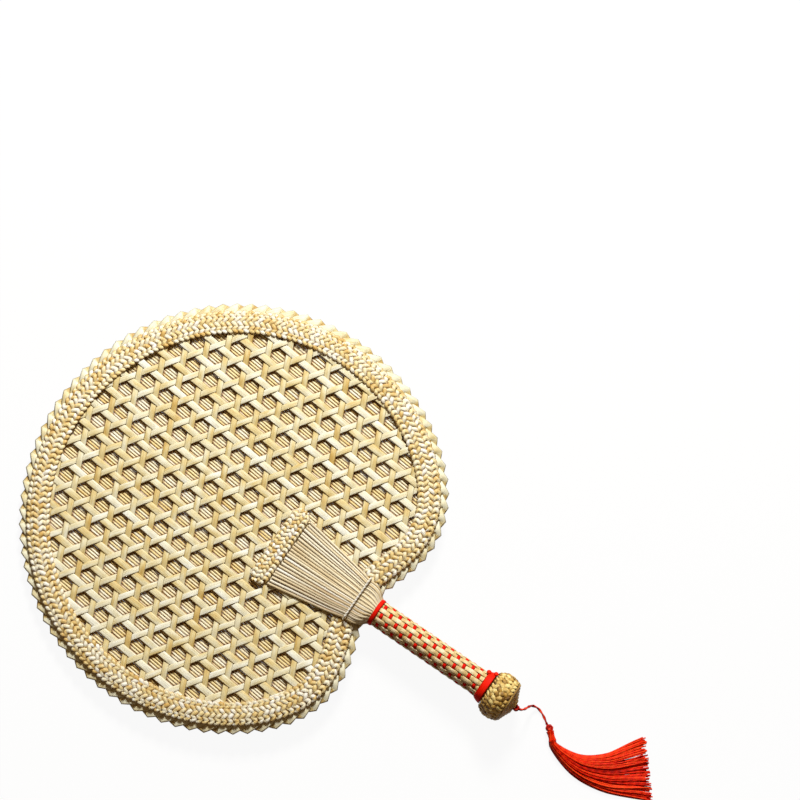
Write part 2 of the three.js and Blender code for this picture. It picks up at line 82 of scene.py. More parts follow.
def aimCamera():
    up = Vector((*view["up"], 0)).normalized()
    target = fanPlace @ Vector((*view["middle"], 0))
    lean = radians(view["elevation"])
    offset = sin(lean) * upward - cos(lean) * up
    data = bpy.data.cameras.new("camera")
    data.lens = data.sensor_width * view["distance"] / view["width"]
    data.clip_start = 0.05
    data.clip_end = 20
    camera = added("camera", data)
    forward = -offset
    right = forward.cross(up).normalized()
    turn = Matrix((right, right.cross(forward), -forward)).transposed().to_4x4()
    camera.matrix_world = Matrix.Translation(target + offset * view["distance"] * mm) @ turn
    scene.camera = camera


aimCamera()
print("camera set")


# A value on its way through a node tree; the operators add Math nodes
class Flow:
    def __init__(self, graph, socket):
        self.graph = graph
        self.socket = socket

    def maths(self, operation, *others):
        return self.graph.node("ShaderNodeMath", [self, *others], operation=operation)

    __add__ = __radd__ = partialmethod(maths, "ADD")
    __sub__ = partialmethod(maths, "SUBTRACT")
    __mul__ = partialmethod(maths, "MULTIPLY")
    __truediv__ = partialmethod(maths, "DIVIDE")
    __pow__ = partialmethod(maths, "POWER")


class Graph:
    def __init__(self, tree):
        self.tree = tree

    def feed(self, socket, value):
        for each in value if isinstance(value, list) else [value]:
            if isinstance(each, Flow):
                self.tree.links.new(each.socket, socket)
            else:
                socket.default_value = each

    # Adds one node with the values or links of its sockets; other settings come by name
    def node(self, kind, sockets=None, output=0, **settings):
        made = self.tree.nodes.new(kind)
        for key, value in settings.items():
            if key == "stops":
                setStops(made.color_ramp, value)
            else:
                setattr(made, key, value)
        named = isinstance(sockets, dict)
        for key, value in sockets.items() if named else enumerate(sockets or []):
            self.feed(made.inputs[key], value)
        if output == "all":
            return {socket.name: Flow(self, socket) for socket in made.outputs}
        return Flow(self, made.outputs[output]) if made.outputs else None

    def split(self, vector):
        return self.node("ShaderNodeSeparateXYZ", [vector], "all").values()

    def join(self, x, y, z):
        return self.node("ShaderNodeCombineXYZ", [x, y, z])

    def mixed(self, share, first, second):
        return self.node("ShaderNodeMix", {0: share, 6: first, 7: second}, 2, data_type="RGBA")

    def marked(self, name):
        return self.node("ShaderNodeAttribute", None, "Fac", attribute_name=name)

    def noise(self, place, scale, detail, gain=1.8):
        cloud = self.node("ShaderNodeTexNoise", {"Vector": place, "Scale": scale, "Detail": detail})
        return (cloud - 0.5) * gain + 0.5

    def ramp(self, level, colours):
        stops = [(position, tint(*colour)) for position, *colour in colours]
        return self.node("ShaderNodeValToRGB", [level], stops=stops)


def setStops(ramp, stops):
    while len(ramp.elements) < len(stops):
        ramp.elements.new(1)
    for element, (position, colour) in zip(ramp.elements, stops):
        element.position = position
        element.color = colour


# Colour as picked on a screen, 0 to 255, turned into light by the screen's standard curve
def tint(red, green, blue):
    parts = [part / 255 for part in (red, green, blue)]
    return (*(p / 12.92 if p < 0.04 else ((p + 0.055) / 1.055) ** 2.4 for p in parts), 1.0)


def startMaterial(name):
    material = bpy.data.materials.new(name)
    material.use_nodes = True
    material.node_tree.nodes.clear()
    return material, Graph(material.node_tree)


# Shade that the woven strips leave on the straws below them, dying away beside each strip
def stripShade(graph, shade):
    x = graph.marked("lane") + graph.marked("across") * shade["halfStraw"]
    y = graph.marked("along")
    deepest = 0.0
    for degrees in (0, 60, 120):
        turn = radians(degrees)
        row = ((x * cos(turn) + y * sin(turn)) / shade["pitch"]).maths("FRACT")
        distance = (row - 0.5).maths("ABSOLUTE") * shade["pitch"]
        level = graph.node("ShaderNodeMapRange", {
            "Value": distance, "From Min": shade["from"], "From Max": shade["to"],
            "To Min": shade["depth"], "To Max": 0.0,
        }, interpolation_type="SMOOTHSTEP")
        deepest = level.maths("MAXIMUM", deepest)
    return deepest


strawGrain = {
    "fibreStretch": 0.05, "fibreScale": 1.6, "fibreSpread": 97, "patchSpread": 61, "patchAcross": 0.4,
    "toneShare": 0.4, "patchShare": 0.4, "fibreShare": 0.2, "bumpDepth": 0.25,
    "roughness": 0.42, "fibreRoughness": 0.22, "shine": 0.5, "relief": 0.5, "sharpness": 3,
}
dyedGrain = {
    "fibreStretch": 0.08, "fibreScale": 1.5, "fibreSpread": 83, "toneShare": 0.45, "fibreShare": 0.3,
    "lift": 0.12, "bumpDepth": 0.3, "fibreBump": 0.5, "plyBump": 2, "fibreRoughness": 0.2, "shine": 0.1,
    "sharpness": 4, "fibres": 2, "relief": 0.6,
}


# Straw has patches too, drawn out along each strand. Gives the colour's level and the relief.
def strawLevels(graph, look, along, across, tone, fibre):
    place = graph.join(along / look["patch"], tone * look["patchSpread"], across * look["patchAcross"])
    patch = graph.noise(place, scale=1, detail=2)
    return tone * look["toneShare"] + patch * look["patchShare"] + fibre * look["fibreShare"], fibre


# The same for dyed ribbon or thread; a ply share above zero twists plies round each strand, in the bump
# and as painted shade in the colour, lighter on the plies' crowns and darker in their grooves
def dyedLevels(graph, look, along, across, tone, fibre):
    turn = along * (fullTurn / look["twist"])
    ply = across * turn.maths("COSINE") + graph.marked("rise") * turn.maths("SINE")
    # Painted shade: the ply pattern lightens the colour on the plies' crowns and darkens it in their
    # grooves
    level = tone * look["toneShare"] + fibre * look["fibreShare"] + ply * look["ply"] + look["lift"]
    return level, fibre * look["fibreBump"] + ply * look["ply"] * look["plyBump"]


# Fibres run along each strand, which carries its own tone and is darker towards its edges: painted
# shade, as in the gaps where strands meet
def makeMaterial(name, look, levels):
    material, graph = startMaterial(name)
    along, across, tone = (graph.marked(mark) for mark in ("along", "across", "tone"))
    place = graph.join(across * look["fibres"], along * look["fibreStretch"], tone * look["fibreSpread"])
    fibre = graph.noise(place, look["fibreScale"], detail=3)
    level, height = levels(graph, look, along, across, tone, fibre)
    # Painted shade: the colour darkens towards each strand's edges, mixing in the edge tint
    edge = (across.maths("ABSOLUTE") ** look["sharpness"]) * look["edge"]
    colour = graph.mixed(edge, graph.ramp(level, look["colours"]), tint(*look["edgeTint"]))
    if "shade" in look:
        colour = graph.mixed(stripShade(graph, look["shade"]), colour, tint(*look["shade"]["colour"]))
    bump = graph.node("ShaderNodeBump", {
        "Strength": look["relief"], "Distance": look["bumpDepth"] * mm, "Height": height,
    })
    surface = graph.node("ShaderNodeBsdfPrincipled", {
        "Base Color": colour, "Normal": bump, "Specular IOR Level": look["shine"],
        "Roughness": look["roughness"] + fibre * look["fibreRoughness"],
    })
    graph.node("ShaderNodeOutputMaterial", {"Surface": surface})
    return material


# In each look, edge and the edge tint set the painted shade at the strands' edges
strawLooks = {
    "coreStraw": {
        "fibres": 2, "patch": 30, "relief": 0.3, "edge": 0.9, "edgeTint": (152, 96, 12),
        "shade": {
            "pitch": 13.5, "halfStraw": 0.9, "from": 1.9, "to": 4.0, "depth": 0.8,
            "colour": (150, 94, 14),
        },
        "colours": [(0.2, 230, 196, 112), (0.4, 243, 225, 164), (0.66, 250, 247, 226)],
    },
    "wovenStrip": {
        "fibres": 5, "patch": 14, "edge": 0.25, "sharpness": 8, "edgeTint": (170, 120, 50),
        "colours": [(0.24, 208, 172, 92), (0.42, 227, 208, 148), (0.58, 236, 230, 198),
                    (0.76, 247, 248, 236)],
    },
    "edgeStrip": {
        "fibres": 5, "patch": 8, "edge": 0.4, "sharpness": 6, "edgeTint": (132, 104, 40),
        "colours": [(0.15, 196, 158, 84), (0.4, 224, 206, 146), (0.65, 240, 238, 212)],
    },
    "borderStraw": {
        "fibres": 3, "patch": 3.2, "edge": 0.8, "edgeTint": (150, 96, 24),
        "colours": [(0.15, 212, 172, 92), (0.38, 236, 215, 152), (0.56, 244, 238, 208),
                    (0.78, 251, 251, 243)],
    },
    "neckStraw": {
        "fibres": 2.4, "patch": 40, "relief": 0.35, "edge": 0.9, "edgeTint": (112, 66, 24),
        "colours": [(0.2, 204, 178, 126), (0.5, 230, 219, 187), (0.8, 245, 244, 236)],
    },
    "gripStraw": {
        "fibres": 3, "patch": 16, "relief": 0.45, "edge": 0.3, "sharpness": 6, "edgeTint": (118, 76, 24),
        "colours": [(0.2, 198, 160, 88), (0.5, 233, 208, 150), (0.8, 251, 244, 218)],
    },
    "knobStraw": {
        "fibres": 5, "patch": 6, "relief": 0.6, "edge": 0.95, "sharpness": 4, "edgeTint": (52, 28, 0),
        "colours": [(0.26, 112, 74, 10), (0.46, 204, 160, 70), (0.68, 250, 228, 152)],
    },
}
# Here too, edge and the edge tint set the painted shade at the strands' edges
dyedLooks = {
    "redRibbon": {
        "fibres": 6, "twist": 9, "ply": 0.0, "roughness": 0.5, "edge": 0.6, "edgeTint": (110, 2, 0),
        "colours": [(0.3, 176, 4, 0), (0.55, 238, 20, 0), (0.8, 255, 52, 16)],
    },
    "redCord": {
        "twist": 7, "ply": 0.3, "roughness": 0.42, "edge": 0.35, "edgeTint": (90, 2, 2),
        "colours": [(0.1, 84, 2, 0), (0.5, 190, 14, 4), (0.9, 250, 76, 44)],
    },
    "redThread": {
        "twist": 5, "ply": 0.12, "relief": 0.5, "roughness": 0.4, "edge": 0.6, "edgeTint": (104, 4, 0),
        "colours": [(0.1, 150, 6, 0), (0.42, 242, 32, 0), (0.82, 255, 76, 24)],
    },
    "whiteThread": {
        "twist": 2.4, "ply": 0.3, "roughness": 0.6, "edge": 0.4, "edgeTint": (150, 140, 120),
        "colours": [(0.1, 196, 190, 174), (0.5, 238, 236, 226), (0.9, 255, 254, 250)],
    },
}
materials = {}
for name, look in strawLooks.items():
    materials[name] = makeMaterial(name, {**strawGrain, **look}, strawLevels)
for name, look in dyedLooks.items():
    materials[name] = makeMaterial(name, {**dyedGrain, **look}, dyedLevels)
print("materials made")


# An empty tree with named inputs: the tree, its graph and what its inputs give
def startTree(name, counts, lengths):
    tree = bpy.data.node_groups.new(name, "GeometryNodeTree")
    kinds = {"Geometry": ["Geometry"], "Material": ["Material"], "Int": counts, "Float": lengths}
    for kind, keys in kinds.items():
        for key in keys:
            tree.interface.new_socket(key, in_out="INPUT", socket_type=f"NodeSocket{kind}")
    tree.interface.new_socket("Geometry", in_out="OUTPUT", socket_type="NodeSocketGeometry")
    graph = Graph(tree)
    return tree, graph, graph.node("NodeGroupInput", None, "all")


# Draws an oval section along curves and marks where each point lies across it
def sweepSection(graph, curves, sizes):
    ring = graph.node("GeometryNodeCurvePrimitiveCircle", {"Resolution": sizes["Sides"], "Radius": 1.0})
    x, y, _ = graph.split(graph.node("GeometryNodeInputPosition"))
    for name, value in (("across", x), ("rise", y)):
        ring = graph.node("GeometryNodeStoreNamedAttribute", {
            "Geometry": ring, "Name": name, "Value": value,
        })
    ring = graph.node("GeometryNodeSetPosition", {
        "Geometry": ring,
        "Position": graph.join(x * sizes["Width"] / 2, y * sizes["Thickness"] / 2, 0.0),
    })
    scale = graph.node("GeometryNodeInputNamedAttribute", ["guideScale"], data_type="FLOAT")
    swept = graph.node("GeometryNodeCurveToMesh", {
        "Curve": curves, "Profile Curve": ring, "Scale": scale, "Fill Caps": True,
    })
    swept = graph.node("GeometryNodeSetShadeSmooth", {"Geometry": swept})
    swept = graph.node("GeometryNodeRealizeInstances", [swept])
    swept = graph.node("GeometryNodeSetMaterial", {"Geometry": swept, "Material": sizes["Material"]})
    graph.node("NodeGroupOutput", [swept])


# Turns guide lines into strands; every guide point has its own side direction and scale
def strandTree():
    tree, graph, sizes = startTree("strandSweep", ["Sides"], ["Width", "Thickness"])
    curves = graph.node("GeometryNodeMeshToCurve", {"Mesh": sizes["Geometry"]})
    side = graph.node("GeometryNodeInputNamedAttribute", ["guideSide"], data_type="FLOAT_VECTOR")
    curves = graph.node("GeometryNodeSetCurveNormal", {"Curve": curves, "Normal": side}, mode="FREE")
    sweepSection(graph, curves, sizes)
    return tree


# Straight strips in as many directions as asked, cut to the blade's outline. With more than
# one direction each family waves over the strips of one neighbour and under the other's.
def stripTree(name, families):
    tree, graph, sizes = startTree(name, ["Strips", "Samples", "Sides", "Seed"], [
        "Pitch", "Width", "Thickness", "Height", "Wave", "Turn", "Shift X", "Shift Y",
        "Blade Radius", "Neck Dent", "Dent Spread", "Inset",
    ])
    pitch = sizes["Pitch"]
    reach = sizes["Blade Radius"] * 1.1
    slant = radians(60)
    laid = []
    for family in families:
        start = graph.join((sizes["Strips"] - 1) * pitch * -0.5, 0.0, 0.0)
        feet = graph.node("GeometryNodeMeshLine", {
            "Count": sizes["Strips"], "Start Location": start, "Offset": graph.join(pitch, 0.0, 0.0),
        })
        line = graph.node("GeometryNodeCurvePrimitiveLine", {
            "Start": graph.join(0.0, reach * -1, 0.0), "End": graph.join(0.0, reach, 0.0),
        })
        line = graph.node("GeometryNodeResampleCurve", {"Curve": line, "Count": sizes["Samples"]})
        lines = graph.node("GeometryNodeInstanceOnPoints", {"Points": feet, "Instance": line})
        lines = graph.node("GeometryNodeRealizeInstances", [lines])
        chance = graph.node("FunctionNodeRandomValue", {
            2: family["low"], 3: family["high"],
            "ID": graph.node("GeometryNodeInputIndex"), "Seed": sizes["Seed"] + family["seed"],
        }, 1, data_type="FLOAT")
        place = graph.node("GeometryNodeInputPosition")
        x, y, _ = graph.split(place)
        for key, value, domain in (
            ("tone", chance, "CURVE"), ("guideScale", family["scale"], "CURVE"),
            ("along", y, "POINT"), ("lane", x, "POINT"),
        ):
            lines = graph.node("GeometryNodeStoreNamedAttribute", {
                "Geometry": lines, "Name": key, "Value": value,
            }, domain=domain)
        phase = (x * cos(slant) - y * sin(slant)) * fullTurn / pitch
        lift = sizes["Height"] - phase.maths("COSINE") * sizes["Wave"]
        lines = graph.node("GeometryNodeSetPosition", {
            "Geometry": lines, "Offset": graph.join(0.0, 0.0, lift),
        })
        turned = graph.node("ShaderNodeVectorRotate", {
            "Vector": place, "Angle": sizes["Turn"] + radians(family["turn"]),
        }, rotation_type="Z_AXIS")
        lines = graph.node("GeometryNodeSetPosition", {
            "Geometry": lines, "Position": turned,
            "Offset": graph.join(sizes["Shift X"], sizes["Shift Y"], 0.0),
        })
        laid.append(lines)
    curves = graph.node("GeometryNodeJoinGeometry", {"Geometry": laid})
    x, y, _ = graph.split(graph.node("GeometryNodeInputPosition"))
    fromGrip = x.maths("ARCTAN2", y * -1) / sizes["Dent Spread"]
    dent = (fromGrip * fromGrip * -1).maths("EXPONENT") * sizes["Neck Dent"]
    edge = sizes["Blade Radius"] - dent - sizes["Inset"]
    outside = (x * x + y * y).maths("SQRT").maths("GREATER_THAN", edge)
    curves = graph.node("GeometryNodeDeleteGeometry", {"Geometry": curves, "Selection": outside})
    curves = graph.node("GeometryNodeSetCurveNormal", {"Curve": curves}, mode="Z_UP")
    sweepSection(graph, curves, sizes)
    return tree


# Runs a tree on a mesh, keeps the plain result and lays it in its place
def grown(name, mesh, tree, sizes, place):
    piece = added(name, mesh)
    modifier = piece.modifiers.new("grow", "NODES")
    modifier.node_group = tree
    for item in tree.interface.items_tree:
        if item.in_out == "INPUT" and item.name in sizes:
            modifier[item.identifier] = sizes[item.name]
    ready = piece.evaluated_get(bpy.context.evaluated_depsgraph_get())
    result = bpy.data.meshes.new_from_object(ready)
    piece.modifiers.clear()
    piece.data = result
    bpy.data.meshes.remove(mesh)
    result.name = name
    result.transform(place)
    return piece


# A strand for the sweep: points, directions out of its face, one tone or a list, and scales
def strand(points, ups, tone, scales=None, closed=False):
    count = len(points)
    sides = []
    for k, up in enumerate(ups):
        before = points[k - 1] if k or closed else points[0]
        after = points[(k + 1) % count] if k + 1 < count or closed else points[-1]
        sides.append((after - before).cross(up).normalized())
    return {"points": points, "sides": sides, "scales": scales or [1] * count, "closed": closed,
            "tones": tone if isinstance(tone, list) else [tone] * count}


# How far along a line each of its points lies
def runsAlong(points):
    return list(accumulate(((q - p).length for p, q in zip(points, points[1:])), initial=0))


def guideMesh(name, strands):
    points, edges, alongs = [], [], []
    for each in strands:
        first = len(points)
        points += each["points"]
        alongs += runsAlong(each["points"])
        last = len(points) - 1
        edges += [(k, k + 1) for k in range(first, last)]
        if each["closed"]:
            edges.append((last, first))
    mesh = bpy.data.meshes.new(name)
    mesh.from_pydata(points, edges, [])
    sides = [part for each in strands for side in each["sides"] for part in side]
    mesh.attributes.new("guideSide", "FLOAT_VECTOR", "POINT").data.foreach_set("vector", sides)
    values = {
        "guideScale": [scale for each in strands for scale in each["scales"]],
        "tone": [tone for each in strands for tone in each["tones"]],
        "along": alongs,
    }
    for key, numbers in values.items():
        mesh.attributes.new(key, "FLOAT", "POINT").data.foreach_set("value", numbers)
    return mesh


sweepTree = strandTree()


# A look's section is its width, thickness and number of sides
def sweep(name, strands, look, place=fanPlace):
    sizes = dict(zip(("Width", "Thickness", "Sides"), look["section"]))
    sizes["Material"] = materials[look["material"]]
    return grown(name, guideMesh(name, strands), sweepTree, sizes, place)


def merged(first, *others):
    pieces = [first, *others]
    with bpy.context.temp_override(active_object=first, object=first, selected_objects=pieces,
                                   selected_editable_objects=pieces):
        bpy.ops.object.join()
    return first


def settle(piece, body, slot, *nodes):
    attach(piece, body)
    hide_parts(*nodes)


# The same piece on the back of the fan
def onBack(piece, name):
    mesh = piece.data.copy()
    mesh.name = name
    mesh.transform(backPlace @ fanPlace.inverted())
    return added(name, mesh)


# Both faces get the piece, for the nodes front_NODE and back_NODE
def settleBoth(piece, slot, node, title):
    other = onBack(piece, f"back{title}")
    settle(piece, "fan", slot, f"front_{node}")
    settle(other, "fan", slot, f"back_{node}")


# Smooth line through points, with even spacing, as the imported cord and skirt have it
def smoothLine(points, count, finePoints=24):
    ends = [2 * points[0] - points[1], *points, 2 * points[-1] - points[-2]]
    fine = []
    for corners in zip(ends, ends[1:], ends[2:], ends[3:]):
        gaps = (sqrt((q - p).length) for p, q in zip(corners, corners[1:]))
        times = list(accumulate(gaps, initial=0))
        for step in range(finePoints):
            t = times[1] + (times[2] - times[1]) * step / finePoints
            level = corners
            for span in (1, 2, 3):
                level = [blendPoint(level, times, k, span, t) for k in range(4 - span)]
            fine.append(level[0])
    fine.append(points[-1])
    return evenLine(fine, count)


def blendPoint(level, times, k, span, t):
    low, high = times[1:3] if span == 3 else (times[k], times[k + span])
    return level[k].lerp(level[k + 1], (t - low) / (high - low))


def evenLine(fine, count):
    runs = runsAlong(fine)
    line = []
    for k in range(count):
        run = runs[-1] * k / (count - 1)
        at = min(max(bisect.bisect_left(runs, run) - 1, 0), len(runs) - 2)
        share = (run - runs[at]) / max(runs[at + 1] - runs[at], 1e-9)
        line.append(fine[at].lerp(fine[at + 1], min(share, 1)))
    return line


# Direction of a line at each of its points
def headings(line):
    return [(q - p).normalized() for p, q in zip([line[0], *line], [*line[1:], line[-1]])]


# Thread wound round a small ball in crossing loops
def knotStrand(centre, radius, loops, tone, loopPoints=14, tilt=0.9):
    points, ups = [], []
    for k in range(loops * loopPoints):
        turn = fullTurn * k / loopPoints
        lean = tilt * sin(turn * (loops - 1) / loops / 2)
        out = Vector((cos(turn) * cos(lean), sin(turn) * cos(lean), sin(lean)))
        points.append(centre + out * radius)
        ups.append(out)
    return strand(points, ups, tone)


cordLook = {
    "diameter": 1.8, "section": (1.8, 1.15, 12), "material": "redCord", "plyTurn": 11, "points": 60,
    "tone": 0.6,
    "route": [
        (0.5, -2.5, 0.985), (1.1, -3.6, 0.93), (2.4, -4.8, 0.8), (4.2, -5.7, 0.62), (5.9, -6.5, 0.43),
        (7.4, -7.7, 0.25), (8.3, -9.6, 0.11), (8.5, -12, 0.04), (7.9, -14.5, 0.015), (6.8, -17, 0.01),
        (5.4, -19.4, 0.02), (4.2, -21.1, 0.05), (3.4, -22.2, 0.1),
    ],
}
# Each ball of a knot: its place off the centre, radius, loops and tone
knotLooks = {
    "cordEndKnot": {
        "balls": [((0, 0, 0), 1.65, 3, 0.45), ((0, 0, 0), 0.6, 3, 0.3)], "stub": (0.3, 0.7, 1.08),
        "stubScales": (1, 0.95, 0.85), "stubTone": 0.5, "section": (1.6, 1.5, 8), "material": "redCord",
    },
    "tasselKnot": {
        "balls": [((0, 0, 0.1), 1.75, 4, 0.7), ((0.2, 0.2, 0.3), 1.2, 3, 0.5)],
        "stub": (0.4, 0.7, 1.05), "stubScales": (1, 0.9, 0.75), "stubTone": 0.6,
        "section": (1.9, 1.7, 8), "material": "redCord",
    },
}
tassel = {
    "knot": (2.1, -25.1), "knotRadius": 2.85, "cordHeight": 1.6, "heading": (-0.676, -0.737),
    "neckRadius": 3.15, "neckLength": 5,
}
binding = {
    "strands": 9, "points": 7, "start": 0.7, "overlap": 1.6, "height": 2.9, "radius": 1.5,
    "flare": 0.5, "twist": 0.5, "tones": (0.25, 0.6, 0.95), "section": (1.5, 1.3, 8),
    "material": "redThread",
}
skirt = {
    "seed": 5, "threads": 190, "section": (0.9, 0.9, 6), "material": "redThread", "points": 26,
    "clumps": 24,
    "route": [(-7.2, -52.9), (-0.6, -71.2), (15.7, -91.4)], "startWidth": 0.8, "endWidth": 42,
    "endThickness": 3, "spreading": 1.2, "flattening": 0.6, "layerRise": 0.1, "startScale": 0.62,
    "sway": (0.2, 1.3), "swayRate": (3, 8), "cut": (-2.5, 2.0), "clumpTones": (0, 0.9),
    "toneSpread": (-0.35, 0.4), "layers": 5, "cutting": 3, "thickening": 3,
}
tasselHeading = Vector((*tassel["heading"], 0)).normalized()


# A point given from the place where the cord leaves the knob
def fromExit(x, y, z):
    return Vector((exitPoint.x + x, exitPoint.y + y, z))


knotCentre = fromExit(*tassel["knot"], tassel["knotRadius"])


def tasselCord():
    rest = cordLook["diameter"] / 2
    route = [fromExit(x, y, rest + (exitPoint.z - rest) * height) for x, y, height in cordLook["route"]]
    line = smoothLine(route, cordLook["points"])
    runs = runsAlong(line)
    ups = []
    for run, ahead in zip(runs, headings(line)):
        level = ahead.cross(upward).normalized()
        turn = fullTurn * run / cordLook["plyTurn"]
        ups.append(level * sin(turn) + ahead.cross(level) * cos(turn))
    cord = sweep("tasselCord", [strand(line, ups, cordLook["tone"])], cordLook, tablePlace)
    return cord, [point * mm for point in line], runs[-1] * mm


# A knot, with a stub that reaches the cord
def knot(name, centre, toCord):
    look = knotLooks[name]
    strands = [knotStrand(centre + Vector(off), *ball) for off, *ball in look["balls"]]
    points = [centre + toCord * share for share in look["stub"]]
    strands.append(strand(points, [upward] * len(points), look["stubTone"], look["stubScales"]))
    return sweep(name, strands, look, tablePlace)


def tasselNeck():
    strands = []
    side = tasselHeading.cross(upward)
    for k in range(binding["strands"]):
        turn = fullTurn * k / binding["strands"]
        out = side * cos(turn) + upward * sin(turn)
        points, ups = [], []
        for step in range(binding["points"]):
            share = step / (binding["points"] - 1)
            radius = binding["radius"] + binding["flare"] * (2 * share - 1) ** 2
            run = tassel["knotRadius"] * binding["start"]
            run += share * (tassel["neckLength"] + binding["overlap"])
            middle = Vector((*(knotCentre + tasselHeading * run).xy, binding["height"]))
            lean = binding["twist"] * share
            twist = out * cos(lean) + tasselHeading.cross(out) * sin(lean)
            points.append(middle + twist * radius)
            ups.append(twist)
        strands.append(strand(points, ups, binding["tones"][k % 3]))
    return sweep("tasselNeck", strands, binding, tablePlace)


def tasselSkirt():
    dice = Random(skirt["seed"])
    clumpTones = [dice.uniform(*skirt["clumpTones"]) for _ in range(skirt["clumps"])]
    neckEnd = tasselHeading * (tassel["knotRadius"] + tassel["neckLength"])
    start = Vector((*(knotCentre + neckEnd).xy, 0))
    route = [start, start + tasselHeading * tassel["neckRadius"]]
    route += [fromExit(x, y, 0) for x, y in skirt["route"]]
    line = smoothLine(route, skirt["points"])
    startHalf = tassel["neckRadius"] * skirt["startWidth"]
    thick = skirt["section"][1]
    strands = []
    for k in range(skirt["threads"]):
        layer = dice.uniform(0, 1)
        off = dice.uniform(-1, 1)
        sway, rate = dice.uniform(*skirt["sway"]), dice.uniform(*skirt["swayRate"])
        phase = dice.uniform(0, fullTurn)
        cut = dice.uniform(*skirt["cut"])
        points, ups, scales = [], [], []
        for step, ahead in enumerate(headings(line)):
            share = step / (skirt["points"] - 1)
            spread, flat = share ** skirt["spreading"], share ** skirt["flattening"]
            half = startHalf * (1 - spread) + skirt["endWidth"] / 2 * spread - thick / 2
            tall = 2 * tassel["neckRadius"] * (1 - flat) + skirt["endThickness"] * flat
            crown = (1 - abs(off) ** (2 + 2 * share)) ** 0.5
            across = off * half + sway * share * sin(rate * share + phase)
            height = thick / 2 + max(tall * crown - thick, 0) * layer
            height += skirt["layerRise"] * (k % skirt["layers"]) * share
            point = line[step] + ahead.cross(upward) * across + upward * height
            points.append(point + ahead * cut * share ** skirt["cutting"])
            ups.append(upward)
            fullness = min(share * skirt["thickening"], 1)
            scales.append(skirt["startScale"] + (1 - skirt["startScale"]) * fullness)
        tone = clumpTones[int((off + 1) / 2 * skirt["clumps"])] + dice.uniform(*skirt["toneSpread"])
        strands.append(strand(points, ups, tone, scales))
    return sweep("tasselSkirt", strands, skirt, tablePlace)


cord, cordLine, cordLength = tasselCord()
endKnot = knot("cordEndKnot", exitPoint, Vector((*cordLook["route"][0][:2], 0)))
cordEnd = (exitPoint + Vector(cordLook["route"][-1])).xy
tasselKnot = knot("tasselKnot", knotCentre, Vector((*cordEnd, tassel["cordHeight"])) - knotCentre)
settle(endKnot, "cord_anchor", "red_cord", "cord_end_knot")
settle(cord, "cord", "red_cord", "tassel_cord")
settle(tasselKnot, "tassel", "red_cord", "tassel_knot")
settle(tasselNeck(), "tassel", "red_thread", "tassel_binding")
settle(tasselSkirt(), "tassel", "red_thread", "tassel_skirt")
print("cord and tassel made")

blade = {
    "Blade Radius": 141.0, "Neck Dent": 34.0, "Dent Spread": radians(22.5),
    "Turn": radians(-5.8), "Shift X": 2.6, "Shift Y": -7.7,
}


# Outline of the blade; angle 0 points to the grip
def outlinePoint(angle):
    fromGrip = atan2(sin(angle), cos(angle))
    dent = exp(-((fromGrip / blade["Dent Spread"]) ** 2))
    radius = blade["Blade Radius"] - blade["Neck Dent"] * dent
    return Vector((radius * sin(angle), -radius * cos(angle), 0))


def insetPoint(angle, inset, step=0.001):
    along = (outlinePoint(angle + step) - outlinePoint(angle - step)).normalized()
    return outlinePoint(angle) + Vector((-along.y, along.x, 0)) * inset


# Length of the loop this far in from the edge, and what turns a run into an angle
def ringAngles(inset, steps=1440):
    runs = runsAlong([insetPoint(fullTurn * k / steps, inset) for k in range(steps + 1)])

    def angleAt(run):
        run %= runs[-1]
        low = bisect.bisect(runs, run) - 1
        return fullTurn * (low + (run - runs[low]) / (runs[low + 1] - runs[low])) / steps

    return runs[-1], angleAt


coreMat = {
    "Pitch": 1.85, "Strips": 141, "Samples": 52, "Width": 1.8, "Thickness": 1.5, "Sides": 8,
    "Height": 0.0, "Wave": 0.0, "Inset": 12.5, "Seed": 3, "Material": materials["coreStraw"],
}
weave = {
    "Pitch": 13.5, "Strips": 22, "Samples": 190, "Width": 4.7, "Thickness": 0.5, "Sides": 8,
    "Height": 2.15, "Wave": 0.38, "Inset": 14.0, "Seed": 8, "Material": materials["wovenStrip"],
}
oneWay = [{"turn": 0, "scale": 1.0, "low": 0.1, "high": 0.9, "seed": 1}]
threeWays = [
    {"turn": 0, "scale": 1.0, "low": 0.35, "high": 0.95, "seed": 1},
    {"turn": 60, "scale": 0.83, "low": 0.5, "high": 0.9, "seed": 2},
    {"turn": 120, "scale": 0.85, "low": 0.1, "high": 0.5, "seed": 3},
]


def strips(name, families, sizes):
    tree = stripTree(name, families)
    return grown(name, bpy.data.meshes.new(name), tree, {**blade, **sizes}, fanPlace)


settle(strips("coreStraws", oneWay, coreMat), "fan", "core_straw", "core_straws")
settleBoth(strips("frontWeave", threeWays, weave), "woven_strip", "weave", "Weave")
print("woven blade made")


# Height of a plaited strand, from -1 to 1, counted in crossings from the plait's middle
def plaitHeight(crossing, count):
    place = crossing % (2 * count)
    fromMiddle = place - count * round(place / count)
    if abs(fromMiddle) < 1:
        return -sin(fromMiddle * pi / 2)
    return -cos(place * pi) * (1 if place > count else -1)


plaitRule = {
    "steps": 4, "toneSteps": 4, "corner": 0.985, "swell": 0.12, "unevenness": 0.06, "tones": (0.2, 0.8),
}


